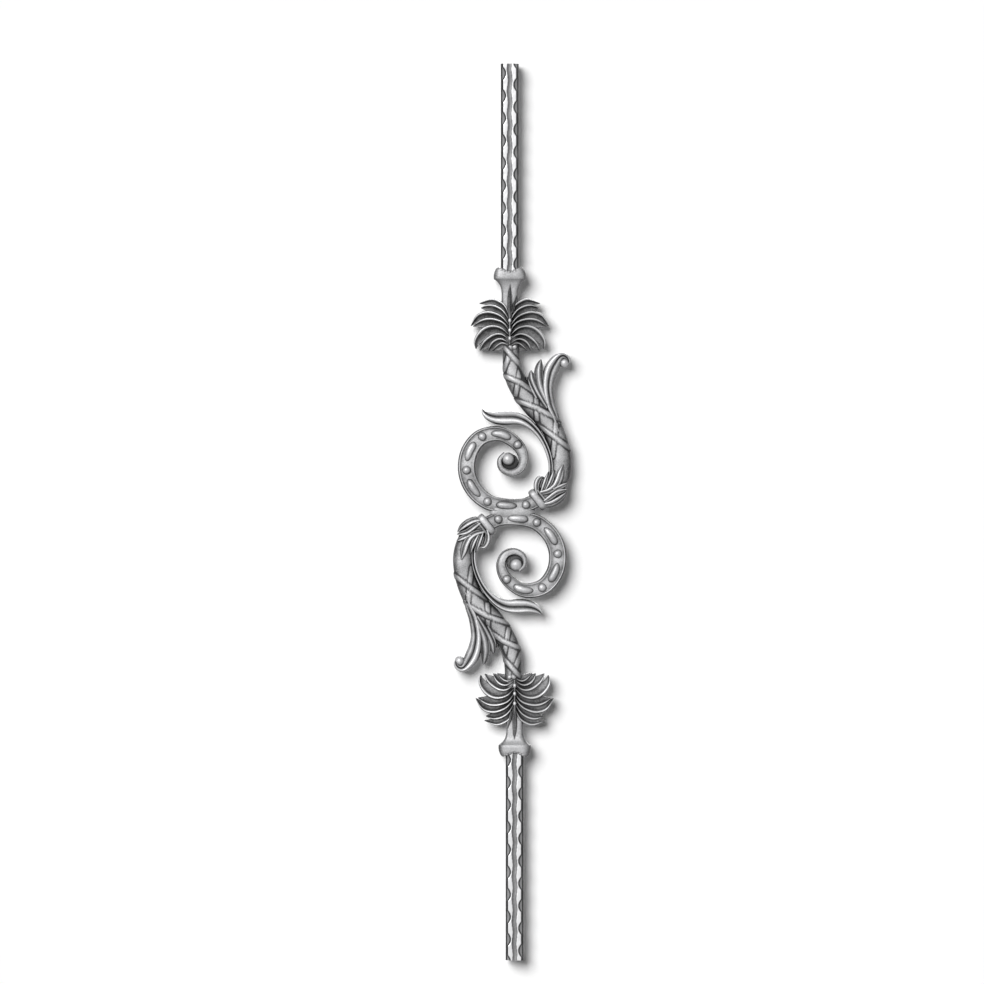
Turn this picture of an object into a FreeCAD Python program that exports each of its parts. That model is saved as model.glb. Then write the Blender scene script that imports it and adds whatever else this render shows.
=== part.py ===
"""Iron stair baluster: a scroll casting with a hammered square bar seated in each end.

Millimetres, +Z up, front towards -Y. The origin is on the mid-line, level with the foot of the
lower bar. The baluster looks the same after half a turn about the Y axis through its middle,
and the back of the casting carries the same relief as its front.
"""
import FreeCAD, Part
import math
import os
import Sketcher
from FreeCAD import Placement, Rotation, Vector

doc = FreeCAD.newDocument("stair_baluster")

# Driving dimensions, in millimetres
SIZES = {
    "overall_height": 1000,
    "casting_length": 546,
    "bar_width": 20,
    "bar_chamfer": 1.5,
    "bar_offset": 2.7,
    "flute_width": 6,
    "flute_depth": 0.6,
    "dent_pitch": 25,
    "dent_length": 16,
    "dent_floor": 7,
    "dent_depth": 3.2,
    "first_dent": 11,
    "socket_depth": 11,
    "socket_clearance": 0.15,
    "collar_wall": 7.5,
    "collar_cheek": 3.5,
    "collar_rise": 14,
    "collar_dip": 6.5,
    "flare_rise": 10,
    "neck_width": 18.5,
    "neck_depth": 18,
    "trunk_depth": 20,
    "strap_width": 5,
    "strap_rise": 1.1,
    "band_depth": 18,
    "rim_width": 2.4,
    "channel_depth": 1.4,
    "bead_diameter": 9.4,
    "bead_rise": 3.6,
    "drop_width": 7.6,
    "eye_diameter": 13.5,
    "eye_depth": 21,
    "tie_length": 24.5,
    "tie_width": 9,
    "tie_depth": 25,
    "husk_depth": 27,
    "tongue_depth": 15,
    "curl_depth": 18,
    "blade_depth": 13,
    "curl_ball_diameter": 11.6,
    "palm_depth": 30,
    "frond_depth": 15,
    "frond_width": 8.6,
    "spear_width": 7,
    "spear_depth": 23,
    "web_width": 54,
    "web_depth": 17,
    "web_height": 9,
    "tip_width": 0.8,
}

sheet = doc.addObject("Spreadsheet::Sheet", "sizes")
for row, (alias, value) in enumerate(SIZES.items(), start=1):
    sheet.set(f"A{row}", alias)
    sheet.set(f"B{row}", str(value))
    sheet.setAlias(f"B{row}", alias)
doc.recompute()


def size(alias):
    return float(sheet.get(alias))


MIDDLE = Vector(0, 0, size("overall_height") / 2)
HALF_TURN = Rotation(Vector(0, 1, 0), 180)
DEPTHWISE = Vector(0, 1, 0)


# Hammered bars: square bar with a shallow flute down each face and dents along each corner

BAR_LENGTH = "((sizes.overall_height - sizes.casting_length) / 2 + sizes.socket_depth)"
HALF_DIAGONAL = "(sizes.bar_width * sqrt(2) / 2)"
DENT_FLOOR = f"({HALF_DIAGONAL} - sizes.dent_depth)"
DENT_MOUTH = f"({HALF_DIAGONAL} + sizes.dent_depth)"
MOUTH_REACH = "(sizes.dent_length - sizes.dent_floor / 2)"
FLUTE_RADIUS = "((sizes.flute_width ^ 2 / 4 + sizes.flute_depth ^ 2) / (2 * sizes.flute_depth))"


def origin_feature(body, role):
    return next(feature for feature in body.Origin.OriginFeatures if feature.Role == role)


def plane_sketch(body, name, plane):
    sketch = body.newObject("Sketcher::SketchObject", name)
    sketch.AttachmentSupport = [(origin_feature(body, plane), "")]
    sketch.MapMode = "FlatFace"
    return sketch


def bound(sketch, kind, *items, expression):
    """Add a dimension to the sketch and bind it to the sheet."""
    index = sketch.addConstraint(Sketcher.Constraint(kind, *items))
    sketch.setExpression(f"Constraints[{index}]", expression)


def draw_outline(sketch, corners):
    """A closed outline whose corners follow pairs of expressions."""
    first = sketch.GeometryCount
    count = len(corners)
    for index in range(count):
        sketch.addGeometry(Part.LineSegment(Vector(index, 1), Vector(index + 1, 2)), False)
    for index, (across, along) in enumerate(corners):
        line = first + index
        sketch.addConstraint(Sketcher.Constraint("Coincident", line, 2, first + (index + 1) % count, 1))
        bound(sketch, "DistanceX", -1, 1, line, 1, 1, expression=across)
        bound(sketch, "DistanceY", -1, 1, line, 1, 1, expression=along)


def draw_circle(sketch, across, along, radius):
    """A circle whose centre and radius follow three expressions."""
    index = sketch.addGeometry(Part.Circle(Vector(1, 1, 0), Vector(0, 0, 1), 1), False)
    bound(sketch, "DistanceX", -1, 1, index, 3, 1, expression=across)
    bound(sketch, "DistanceY", -1, 1, index, 3, 1, expression=along)
    bound(sketch, "Radius", index, 1, expression=radius)


def cut_through(body, name, sketch):
    pocket = body.newObject("PartDesign::Pocket", name)
    pocket.Profile = sketch
    pocket.Type = "ThroughAll"
    pocket.SideType = "Symmetric"
    return pocket


def dent_row(body, name, plane, first):
    """Dents along two opposite corners, repeated up the whole bar."""
    sketch = plane_sketch(body, f"{name}_outline", plane)
    for sign in ("", "-"):
        draw_outline(sketch, [
            (f"{sign}{DENT_FLOOR}", f"{first} - sizes.dent_floor / 2"),
            (f"{sign}{DENT_FLOOR}", f"{first} + sizes.dent_floor / 2"),
            (f"{sign}{DENT_MOUTH}", f"{first} + {MOUTH_REACH}"),
            (f"{sign}{DENT_MOUTH}", f"{first} - {MOUTH_REACH}"),
        ])
    dents = cut_through(body, name, sketch)
    row = body.newObject("PartDesign::LinearPattern", f"{name}_row")
    row.Originals = [dents]
    row.Direction = (origin_feature(body, "Z_Axis"), [""])
    row.Mode = "Spacing"
    row.setExpression("Offset", "sizes.dent_pitch")
    row.setExpression("Occurrences", f"floor(({BAR_LENGTH} - ({first})) / sizes.dent_pitch) + 1")
    body.Tip = row


def hammered_bar(label):
    """The bar from its free end, at its own origin, up to the end that seats in the casting."""
    body = doc.addObject("PartDesign::Body", label)
    body.Label = label
    section = plane_sketch(body, f"{label}_section", "XY_Plane")
    draw_outline(section, [
        (HALF_DIAGONAL, "0"), ("0", HALF_DIAGONAL), (f"-{HALF_DIAGONAL}", "0"), ("0", f"-{HALF_DIAGONAL}"),
    ])
    stock = body.newObject("PartDesign::Pad", f"{label}_stock")
    stock.Profile = section
    stock.setExpression("Length", BAR_LENGTH)
    doc.recompute()
    edges = [
        f"Edge{number}"
        for number, edge in enumerate(stock.Shape.Edges, start=1)
        if abs(edge.tangentAt(edge.FirstParameter).z) > 0.9
    ]
    corners = body.newObject("PartDesign::Chamfer", f"{label}_corners")
    corners.Base = (stock, edges)
    corners.setExpression("Size", "sizes.bar_chamfer")
    stand_off = f"(sizes.bar_width / 2 + {FLUTE_RADIUS} - sizes.flute_depth) / sqrt(2)"
    groove = plane_sketch(body, f"{label}_groove", "XY_Plane")
    draw_circle(groove, stand_off, stand_off, FLUTE_RADIUS)
    flute = cut_through(body, f"{label}_flute", groove)
    flutes = body.newObject("PartDesign::PolarPattern", f"{label}_flutes")
    flutes.Originals = [flute]
    flutes.Axis = (origin_feature(body, "Z_Axis"), [""])
    flutes.Angle = 360
    flutes.Occurrences = 4
    body.Tip = flutes
    dent_row(body, f"{label}_leading_dents", "XZ_Plane", "sizes.first_dent")
    dent_row(body, f"{label}_trailing_dents", "YZ_Plane", "sizes.first_dent + sizes.dent_pitch / 2")
    return body


FOOT = Placement(Vector(size("bar_offset"), 0, 0), Rotation(Vector(0, 0, 1), -45))
lower_bar = hammered_bar("lower_bar")
lower_bar.Placement = FOOT
upper_bar = hammered_bar("upper_bar")
upper_bar.Placement = Placement(MIDDLE * 2, HALF_TURN).multiply(FOOT)


# Casting: the upper half is modelled about the middle of the baluster, as (x, z, width)

def ridged(width, depth):
    """A leaf section with one ridge on each face."""
    return [(width, 0), (0, depth), (-width, 0), (0, -depth)]


def folded(width, depth):
    """A leaf section with a rib along each edge and a valley between."""
    front = [(width, 0), (width * 0.55, depth), (0, depth * 0.55), (-width * 0.55, depth)]
    return front + [(-across, -through) for across, through in front]


def cornered(width, depth):
    """A square section with bevelled corners."""
    bevel = 0.3 * min(width, depth)
    front = [(width, depth - bevel), (width - bevel, depth)]
    front += [(bevel - width, depth), (-width, depth - bevel)]
    return front + [(-across, -through) for across, through in front]


def drafted(width, depth):
    """A stem section: flat face and back, with sides that slope to a parting line half way."""
    front = [(width, 0), (width * 0.66, depth), (-width * 0.66, depth)]
    return front + [(-across, -through) for across, through in front]


def channelled(width, depth):
    """The scroll band: a flat floor between two raised rims."""
    floor = width - min(size("rim_width"), width * 0.6)
    drop = size("channel_depth") * floor / width
    front = [(width, depth), (floor, depth - drop), (-floor, depth - drop), (-width, depth)]
    return front + [(-across, -through) for across, through in front]


STRAIGHT_SHARE = 0.05


def facet(corners):
    return Part.Face(Part.makePolygon(corners + corners[:1]))


def is_flat(corners):
    normal = (corners[1] - corners[0]).cross(corners[3] - corners[0])
    return abs(normal.dot(corners[2] - corners[0])) < 1e-7 * normal.Length


def closed(label, faces):
    """The solid inside a closed set of facets."""
    shell = Part.makeShell(faces)
    shell.sewShape()
    solid = Part.makeSolid(shell)
    if solid.Volume < 0:
        solid.reverse()
    feature = doc.addObject("Part::Feature", label)
    feature.Shape = solid.removeSplitter()
    return feature


def skin(label, outlines):
    """The solid between the first and last of a row of outlines with as many corners each."""
    faces = [facet(outlines[0]), facet(outlines[-1])]
    for near, far in zip(outlines, outlines[1:]):
        for index, corner in enumerate(near):
            after = (index + 1) % len(near)
            patch = [corner, near[after], far[after], far[index]]
            if is_flat(patch):
                faces.append(facet(patch))
            else:
                faces.append(facet(patch[:3]))
                faces.append(facet([patch[0], patch[2], patch[3]]))
    return closed(label, faces)


def turning_shares(course, slices):
    """Shares of a curve's length that lie closer together where the curve turns faster."""
    start = course.FirstParameter
    span = course.LastParameter - start
    fine = 40 * slices
    grades = [0]
    for step in range(fine):
        near = start + span * step / fine
        far = start + span * (step + 1) / fine
        turn = course.tangent(near)[0].getAngle(course.tangent(far)[0])
        length = course.value(near).distanceToPoint(course.value(far))
        grades.append(grades[-1] + math.sqrt(turn * length) + STRAIGHT_SHARE * length)
    shares = [0]
    for step in range(1, slices):
        wanted = grades[-1] * step / slices
        after = next(index for index, grade in enumerate(grades) if grade >= wanted)
        within = (wanted - grades[after - 1]) / (grades[after] - grades[after - 1])
        shares.append((after - 1 + within) / fine)
    return shares + [1]


def limb(label, stations, depths, section, slices):
    """A faceted solid drawn along a smooth curve through stations of (x, z, width).

    The depth runs evenly from the first to the second of the two depths.
    """
    course = Part.BSplineCurve()
    course.interpolate([Vector(x, width, z) for x, z, width in stations])
    start = course.FirstParameter
    span = course.LastParameter - start
    outlines = []
    for share in turning_shares(course, slices):
        place = course.value(start + share * span)
        heading = course.tangent(start + share * span)[0]
        across = Vector(heading.z, 0, -heading.x).normalize()
        centre = Vector(place.x, 0, place.z)
        half_width = max(place.y, size("tip_width")) / 2
        half_depth = (depths[0] + share * (depths[1] - depths[0])) / 2
        outlines.append([
            centre + across * offset + DEPTHWISE * through
            for offset, through in section(half_width, half_depth)
        ])
    return skin(label, outlines)


def boss(label, x, z, profile, sides):
    """A faceted boss turned about the Y axis and standing out alike at front and back.

    The profile gives (distance from the mid-plane, radius) from the middle outwards.
    """
    rings = []
    for through, radius in [(-through, radius) for through, radius in reversed(profile)] + profile:
        turns = [2 * math.pi * step / sides for step in range(sides)]
        rings.append([
            Vector(x + radius * math.cos(turn), through, z + radius * math.sin(turn)) for turn in turns
        ])
    return skin(label, rings)


def grown(stations, extra):
    return [(x, z, width + extra) for x, z, width in stations]


AXIS = -size("bar_offset")
TIP = size("tip_width")
half = []

# Collar: a cup round the end of the bar, drawn up from a square neck
rim = size("casting_length") / 2
seat = rim - size("collar_rise")
collar_width = size("bar_width") + 2 * size("collar_wall")
collar_depth = size("bar_width") + 2 * size("collar_cheek")
neck_width = size("neck_width")
neck_depth = size("neck_depth")
lip = size("collar_wall") * 0.8
neck = limb("neck", [(AXIS, 205, neck_width), (AXIS, seat - size("flare_rise") * 0.6, neck_width)],
            (neck_depth, neck_depth), cornered, 1)
flare_foot = seat - size("flare_rise")
flare_middle = seat - size("flare_rise") * 0.4
flare_width = (2 * neck_width + collar_width) / 3
FLARE = [(AXIS, flare_foot, neck_width), (AXIS, flare_middle, flare_width), (AXIS, seat, collar_width)]
flare = limb("flare", FLARE, (neck_depth - 1, collar_depth), cornered, 2)
CUP = [(AXIS, seat - 1, collar_width), (AXIS, seat + 6, collar_width + 1), (AXIS, rim, collar_width - lip)]
cup = limb("cup", CUP, (collar_depth, collar_depth), cornered, 3)
cup_blank = doc.addObject("Part::MultiFuse", "cup_blank")
cup_blank.Shapes = [neck, flare, cup]

socket = doc.addObject("Part::Box", "socket")
SOCKET_SIDE = "(sizes.bar_width + 2 * sizes.socket_clearance)"
socket.setExpression("Length", SOCKET_SIDE)
socket.setExpression("Width", SOCKET_SIDE)
socket.setExpression("Height", "sizes.socket_depth * 2")
reach = size("bar_width") / 2 + size("socket_clearance")
socket.Placement.Base = Vector(AXIS - reach, -reach, rim - size("socket_depth"))
dip = doc.addObject("Part::Cylinder", "lip_dip")
dip.setExpression("Radius", "sizes.bar_width * 0.75")
dip.setExpression("Height", "sizes.bar_width * 3")
dip_level = rim - size("collar_dip") + size("bar_width") * 0.75
dip.Placement = Placement(Vector(AXIS, size("bar_width") * 1.5, dip_level), Rotation(Vector(1, 0, 0), 90))
mouth = doc.addObject("Part::MultiFuse", "collar_mouth")
mouth.Shapes = [socket, dip]
collar = doc.addObject("Part::Cut", "collar")
collar.Base = cup_blank
collar.Tool = mouth
half.append(collar)

# Trunk: runs down from the neck, swings to the right and turns in under the scroll
TRUNK = [
    (-2, 204, 18), (-1, 187, 18), (-1, 172, 19), (1, 155, 20.5), (8.5, 139, 22.5), (22, 120, 23.5),
    (40, 101, 23.5), (50, 80, 23.5), (54.5, 60, 24), (54, 45, 24), (48.5, 30, 23), (39, 20, 21),
    (28.5, 14, 19),
]
trunk_depths = (size("trunk_depth"), size("trunk_depth"))
half.append(limb("trunk", TRUNK, trunk_depths, drafted, 12))

# Straps: two families of ribbons crossing round the trunk, raised from its surface
rise = 2 * size("strap_rise")
wrap_depth = size("trunk_depth") + rise
wrap = limb("strap_wrap", grown(TRUNK, rise), (wrap_depth, wrap_depth), drafted, 12)
STRAPS = [
    ((-14, 188), (14, 157)), ((-11, 153), (27, 132)), ((4, 124), (50, 104)), ((30, 95), (66, 70)),
    ((-2, 184), (-9, 158)), ((9, 160), (3, 122)), ((27, 136), (29, 94)), ((49, 106), (45, 64)),
]


def slab(label, start, end):
    """A bar through the whole depth of the casting, from one point of the front to another."""
    run = Vector(end[0] - start[0], 0, end[1] - start[1])
    box = doc.addObject("Part::Box", label)
    box.Length = run.Length
    box.setExpression("Width", "sizes.trunk_depth * 2")
    box.setExpression("Height", "sizes.strap_width")
    turn = Rotation(Vector(1, 0, 0), run)
    corner = turn.multVec(Vector(0, -size("trunk_depth"), -size("strap_width") / 2))
    box.Placement = Placement(Vector(start[0], 0, start[1]) + corner, turn)
    return box


for number, (start, end) in enumerate(STRAPS, start=1):
    strap = doc.addObject("Part::Common", f"strap_{number}")
    strap.Base = wrap
    strap.Tool = slab(f"strap_{number}_course", start, end)
    half.append(strap)

# Scroll band: leaves the binding, rounds the ring and winds in to the eye
BAND = [
    (30, 15, 17), (15, 8, 16), (-5, 7.2, 16), (-26, 11, 18), (-42.5, 25, 19.3), (-50.5, 44.5, 19.6),
    (-48, 66.5, 19.3), (-34.5, 83.5, 18), (-13, 87, 16.5), (5.5, 75.5, 14), (12.5, 60.5, 11), (8.5, 48, 9),
    (-2.5, 43.7, 8), (-12.3, 49, 6.5), (-14, 58.5, 5), (-8, 65.5, 4),
]
band_depths = (size("band_depth"), size("band_depth"))
half.append(limb("scroll_band", BAND, band_depths, channelled, 25))

EYE_CENTRE = (-4.5, 59)
eye_radius = size("eye_diameter") / 2
eye_reach = size("eye_depth") / 2
EYE = [
    (eye_reach * 0.55, eye_radius),
    (eye_reach * 0.85, eye_radius * 0.75),
    (eye_reach, eye_radius * 0.35),
]
half.append(boss("scroll_eye", *EYE_CENTRE, EYE, 10))

# Beads and drops: alternate along the floor of the band
BEADS = [(15, 7.4), (-25.8, 10.8), (-50, 43), (-34, 83.6), (6.4, 74)]
bead_radius = size("bead_diameter") / 2
floor_level = size("band_depth") / 2 - size("channel_depth")
BEAD = [(floor_level, bead_radius), (floor_level + size("bead_rise"), bead_radius * 0.6)]
for number, (x, z) in enumerate(BEADS, start=1):
    half.append(boss(f"bead_{number}", x, z, BEAD, 8))
drop = size("drop_width")
drop_depth = 2 * (floor_level + size("bead_rise"))
DROPS = [
    [(-16.5, 7.8), (-5, 6.4), (6, 7.3)],
    [(-36.5, 17), (-43.8, 25.3), (-48.8, 35)],
    [(-49.7, 52), (-48.5, 64.5), (-43.5, 76)],
    [(-22, 88), (-11, 87.8), (-1, 83)],
]
for number, (tail, belly, head) in enumerate(DROPS, start=1):
    half.append(limb(f"drop_{number}", [(*tail, TIP), (*belly, drop), (*head, TIP)],
                     (drop_depth, drop_depth), ridged, 4))

# Binding: a ring cast round the place where the trunk meets the scroll
TIE_PLACE = (28.5, 13.9)
TIE_CENTRE = Vector(TIE_PLACE[0], 0, TIE_PLACE[1])
TIE_RUN = Vector(-5, 0, -4).normalize() * size("tie_width")
TIE_BEVEL = 4
BINDING = []
for share, bevel in ((-0.65, TIE_BEVEL), (-0.3, 0), (0.3, 0), (0.65, TIE_BEVEL)):
    place = TIE_CENTRE + TIE_RUN * share
    BINDING.append((place.x, place.z, size("tie_length") - bevel))
half.append(limb("binding", BINDING, (size("tie_depth"), size("tie_depth")), cornered, 3))

# Husk: leaves that spring from the binding and lie along the foot of the trunk
HUSK = [
    [(30, 19.5, 5), (42, 25, 10), (50, 36, 10), (57, 54, TIP)],
    [(28, 21, 6), (29, 33, 10), (36.5, 44, TIP)],
    [(32, 21, 4), (39, 33, 8), (45, 47, TIP)],
    [(36, 18, 5), (50, 26, 9), (62, 34, TIP)],
    [(35, 14, 5), (47, 18.5, 9), (60, 25.5, TIP)],
    [(33, 9, 5), (47, 12, 9), (60.5, 21, TIP)],
]
husk_depths = (size("husk_depth"), size("trunk_depth") + 1)
for number, stations in enumerate(HUSK, start=1):
    half.append(limb(f"husk_leaf_{number}", stations, husk_depths, ridged, 3))

# Tongue leaf: climbs the inside of the trunk and turns away over the scroll
TONGUE = [
    (42.5, 44, 5), (42.3, 58, 5.5), (38.5, 71, 6), (31.5, 84.5, 7), (22.5, 95, 9), (13, 101.8, 12),
    (3.5, 104.8, 14.5), (-7.5, 105, 15.5), (-17.5, 105.2, 13), (-26, 107.5, 9), (-34, 114.5, TIP),
]
half.append(limb("tongue_leaf", TONGUE, (size("trunk_depth") - 1, size("tongue_depth")), folded, 9))

# Curl leaf and blades: fan out from the outside of the trunk, the longest rolled over a ball
CURL = [
    (53, 90, 5), (48.5, 105, 8.5), (42.8, 120, 11), (39.9, 138, 12.4), (41.4, 151.5, 14.8), (44.2, 160, 16),
    (48.2, 167.2, 14.2), (52.2, 172.4, 10), (56, 174.8, 7.4), (60, 173.6, 5.4), (62.8, 169.5, 3.5),
]
BALL_CENTRE = (58.7, 166.8)
half.append(limb("curl_leaf", CURL, (size("trunk_depth") - 1, size("curl_depth")), folded, 10))
ball_radius = size("curl_ball_diameter") / 2
BALL = [
    (ball_radius * 0.35, ball_radius),
    (ball_radius * 0.9, ball_radius * 0.75),
    (ball_radius * 1.2, ball_radius * 0.35),
]
half.append(boss("curl_ball", *BALL_CENTRE, BALL, 10))
BLADES = [
    [(48, 104, 5), (39, 122, 9), (31.5, 141, 11), (30, 156, 9.5), (32.3, 170, TIP)],
    [(39, 116, 6), (28.5, 133, 8.5), (23, 146, 8), (21.3, 158, TIP)],
    [(27, 127, 6), (21, 139, 6.5), (17, 151, TIP)],
]
blade_depths = (size("trunk_depth") - 3, size("blade_depth"))
for number, stations in enumerate(BLADES, start=1):
    half.append(limb(f"blade_{number}", stations, blade_depths, ridged, 3))

# Palm: pairs of arching fronds folded out of one sheet, ridge by ridge, from a shared midrib
FRONDS = [
    [(0, 219), (11, 233), (22, 236.5), (34, 232.5)],
    [(0, 214), (12, 227), (22, 230), (32, 226.5)],
    [(0, 209), (12, 221), (22, 223.5), (34, 219.5), (43.7, 206.5)],
    [(0, 204), (12, 213), (22, 215), (34, 212), (42, 205)],
    [(0, 199), (12, 206), (23, 207.5), (33, 202.5), (39.3, 192), (38, 181.5)],
    [(0, 193), (12, 198.5), (23, 197), (30.5, 190.5), (33.5, 180)],
    [(0, 189), (9, 193.5), (17, 191.5), (23.5, 180.5)],
    [(0, 185), (7, 188.5), (13, 187), (20.5, 179.5)],
]
PALM_TOP = 224
PALM_FOOT = 181
STEPS = 5
NOTCH = 0.8
VALLEY = 0.76


def ridge_points(course, last):
    """Points along a frond's ridge, from the midrib to the given share of its length."""
    curve = Part.BSplineCurve()
    curve.interpolate([Vector(reach, 0, level) for reach, level in course])
    span = curve.LastParameter - curve.FirstParameter
    return [curve.value(curve.FirstParameter + span * last * step / STEPS) for step in range(STEPS + 1)]


def fold_depth(step):
    """Half the depth of the sheet at a ridge, falling from the midrib to nothing at the tip."""
    if step == STEPS:
        return 0
    return (size("palm_depth") + (size("frond_depth") - size("palm_depth")) * step / STEPS) / 2


def palm_lines():
    """Edge, ridge, valley, ridge ... edge: the lines that the sheet is folded along."""
    ridges = [ridge_points(course, 1) for course in FRONDS]
    short = [ridge_points(course, NOTCH) for course in FRONDS]
    lift = Vector(0, 0, size("frond_width") / 2)
    top = [Vector(0, 0, PALM_TOP)] + [point + lift for point in ridges[0][1:-1]] + [ridges[0][-1]]
    foot = [Vector(0, 0, PALM_FOOT)] + [point - lift / 2 for point in ridges[-1][1:-1]] + [ridges[-1][-1]]
    lines = [[(point, 0) for point in top]]
    for index, ridge in enumerate(ridges):
        lines.append([(point, fold_depth(step)) for step, point in enumerate(ridge)])
        if index + 1 < len(ridges):
            middle = [(upper + lower) / 2 for upper, lower in zip(short[index], short[index + 1])]
            lines.append([(point, VALLEY * fold_depth(step)) for step, point in enumerate(middle)])
    lines.append([(point, 0) for point in foot])
    return lines


def palm(label):
    def corner(item, sign, front):
        point, depth = item
        return Vector(AXIS + sign * point.x, front * depth, point.z)

    faces = []
    for sign in (-1, 1):
        for front in (-1, 1):
            for upper, lower in zip(palm_lines(), palm_lines()[1:]):
                for step in range(STEPS):
                    patch = [upper[step], upper[step + 1], lower[step + 1], lower[step]]
                    corners = [corner(item, sign, front) for item in patch]
                    for three in (corners[:3], [corners[0], corners[2], corners[3]]):
                        if (three[1] - three[0]).cross(three[2] - three[0]).Length > 1e-6:
                            faces.append(facet(three))
    return closed(label, faces)


half.append(palm("palm"))
spear = size("spear_width")
SPEAR = [(AXIS, 219, spear - 2), (AXIS, 231, spear), (AXIS, 243, spear - 1), (AXIS + 1, 254, TIP)]
half.append(limb("spear", SPEAR, (size("spear_depth"), size("neck_depth") + 1), folded, 3))

upper_half = doc.addObject("Part::MultiFuse", "upper_half")
upper_half.Shapes = half
upper_half.Refine = False
doc.recompute()
lower_half = doc.addObject("Part::Feature", "lower_half")
lower_half.Shape = upper_half.Shape.copy()
lower_half.Placement = Placement(Vector(), HALF_TURN)

# Web: joins the two rings where they lie side by side in the middle
web_end = size("web_width") / 2
web_rise = size("web_height")
WEB = [
    (-web_end, 0, web_rise / 2), (-web_end / 2, 0, web_rise),
    (web_end / 2, 0, web_rise), (web_end, 0, web_rise / 2),
]
web = limb("web", WEB, (size("web_depth"), size("web_depth")), cornered, 3)

casting = doc.addObject("Part::MultiFuse", "scroll_casting")
casting.Label = "scroll_casting"
casting.Shapes = [upper_half, lower_half, web]
casting.Refine = False
casting.Placement = Placement(MIDDLE, Rotation())
doc.recompute()

# Every object has to be sound before any file is written
failed = [item.Name for item in doc.Objects if {"Invalid", "Error"} & set(item.State)]
if failed:
    raise RuntimeError(f"objects failed: {failed}")
os.makedirs("parts", exist_ok=True)
for piece in (casting, lower_bar, upper_bar):
    if piece.Shape.isNull() or not piece.Shape.isValid() or len(piece.Shape.Solids) != 1:
        raise RuntimeError(f"{piece.Label} is not one sound solid")
    piece.Shape.exportStep(f"parts/{piece.Label}.step")
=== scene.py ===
"""Looks of an iron stair baluster: two hammered bars and the scroll casting that joins them.

Pieces are drawn in millimetres and put into the row frame, in metres, when they are finished.
"""
import bmesh
import bpy
import math
from mathutils import Matrix, Vector


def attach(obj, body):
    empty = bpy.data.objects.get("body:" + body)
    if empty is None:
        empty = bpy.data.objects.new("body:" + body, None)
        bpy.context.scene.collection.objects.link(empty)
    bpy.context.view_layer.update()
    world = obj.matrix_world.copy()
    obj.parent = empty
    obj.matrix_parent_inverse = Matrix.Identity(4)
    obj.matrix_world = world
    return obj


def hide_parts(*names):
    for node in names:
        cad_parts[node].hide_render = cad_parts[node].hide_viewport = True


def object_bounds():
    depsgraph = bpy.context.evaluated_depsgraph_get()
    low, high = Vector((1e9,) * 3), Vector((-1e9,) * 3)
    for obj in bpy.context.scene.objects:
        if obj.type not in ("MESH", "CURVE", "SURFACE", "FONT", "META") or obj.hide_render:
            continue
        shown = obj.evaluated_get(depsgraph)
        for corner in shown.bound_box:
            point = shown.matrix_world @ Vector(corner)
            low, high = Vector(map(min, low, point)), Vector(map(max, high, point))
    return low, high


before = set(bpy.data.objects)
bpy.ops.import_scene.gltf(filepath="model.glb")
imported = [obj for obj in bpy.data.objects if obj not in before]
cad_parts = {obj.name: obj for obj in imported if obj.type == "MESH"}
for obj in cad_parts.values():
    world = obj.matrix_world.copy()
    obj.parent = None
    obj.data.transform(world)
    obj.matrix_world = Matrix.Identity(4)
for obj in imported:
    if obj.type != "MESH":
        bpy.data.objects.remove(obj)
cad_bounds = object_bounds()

# Hammered bars: square mild steel, bare and bright, drawn out with a shallow flute down each face and
# then struck along the corners, so that scallops alternate from corner to corner. Each bar stands in a
# collar of the casting and is welded there.


def put(tree, kind, *values, named=None, **settings):
    """A new node of a tree, with its inputs set or linked in order and by name."""
    node = tree.nodes.new(kind)
    for name, value in settings.items():
        setattr(node, name, value)
    pairs = [(node.inputs[index], value) for index, value in enumerate(values)]
    pairs += [(node.inputs[name], value) for name, value in (named or {}).items()]
    for socket, value in pairs:
        if isinstance(value, bpy.types.NodeSocket):
            tree.links.new(value, socket)
        elif value is not None:
            socket.default_value = value
    return node


def maths(tree, operation, *values):
    """The result of one sum on numbers or sockets."""
    return put(tree, "ShaderNodeMath", *values, operation=operation).outputs[0]


def stretched(tree, vector, factor):
    """A vector times a number."""
    return put(tree, "ShaderNodeVectorMath", vector, operation="SCALE", named={"Scale": factor}).outputs[0]


def summed(tree, *vectors):
    """Vectors added up."""
    total = vectors[0]
    for vector in vectors[1:]:
        total = put(tree, "ShaderNodeVectorMath", total, vector, operation="ADD").outputs[0]
    return total


def ramp(tree, value, low, high, start, end, **settings):
    """A value carried from the range low to high over to the range start to end."""
    return put(tree, "ShaderNodeMapRange", value, low, high, start, end, **settings).outputs[0]


def mound(tree, distance, reach):
    """One at no distance, falling in a parabola to nothing at the reach."""
    share = maths(tree, "DIVIDE", distance, reach)
    return maths(tree, "MAXIMUM", maths(tree, "SUBTRACT", 1, maths(tree, "MULTIPLY", share, share)), 0)


def geometry_tree(name, **inputs):
    """A geometry tree with named inputs, and the sockets that carry them."""
    tree = bpy.data.node_groups.new(name, "GeometryNodeTree")
    tree.interface.new_socket("Geometry", in_out="INPUT", socket_type="NodeSocketGeometry")
    for label, kind in inputs.items():
        tree.interface.new_socket(label, in_out="INPUT", socket_type=f"NodeSocket{kind}")
    tree.interface.new_socket("Geometry", in_out="OUTPUT", socket_type="NodeSocketGeometry")
    return tree, tree.nodes.new("NodeGroupInput").outputs


def with_wear_and_shading(tree, geometry, wear):
    """Geometry that carries how far it is rubbed bright, together with the light and shade painted on it.
    """
    named = {"Name": "wear", "Value": wear}
    return put(tree, "GeometryNodeStoreNamedAttribute", geometry, named=named).outputs[0]


def end_tree(tree, geometry, material):
    """Close a tree with real, painted geometry."""
    real = put(tree, "GeometryNodeRealizeInstances", geometry).outputs[0]
    painted = put(tree, "GeometryNodeSetMaterial", real, named={"Material": material}).outputs[0]
    put(tree, "NodeGroupOutput", painted)


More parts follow.
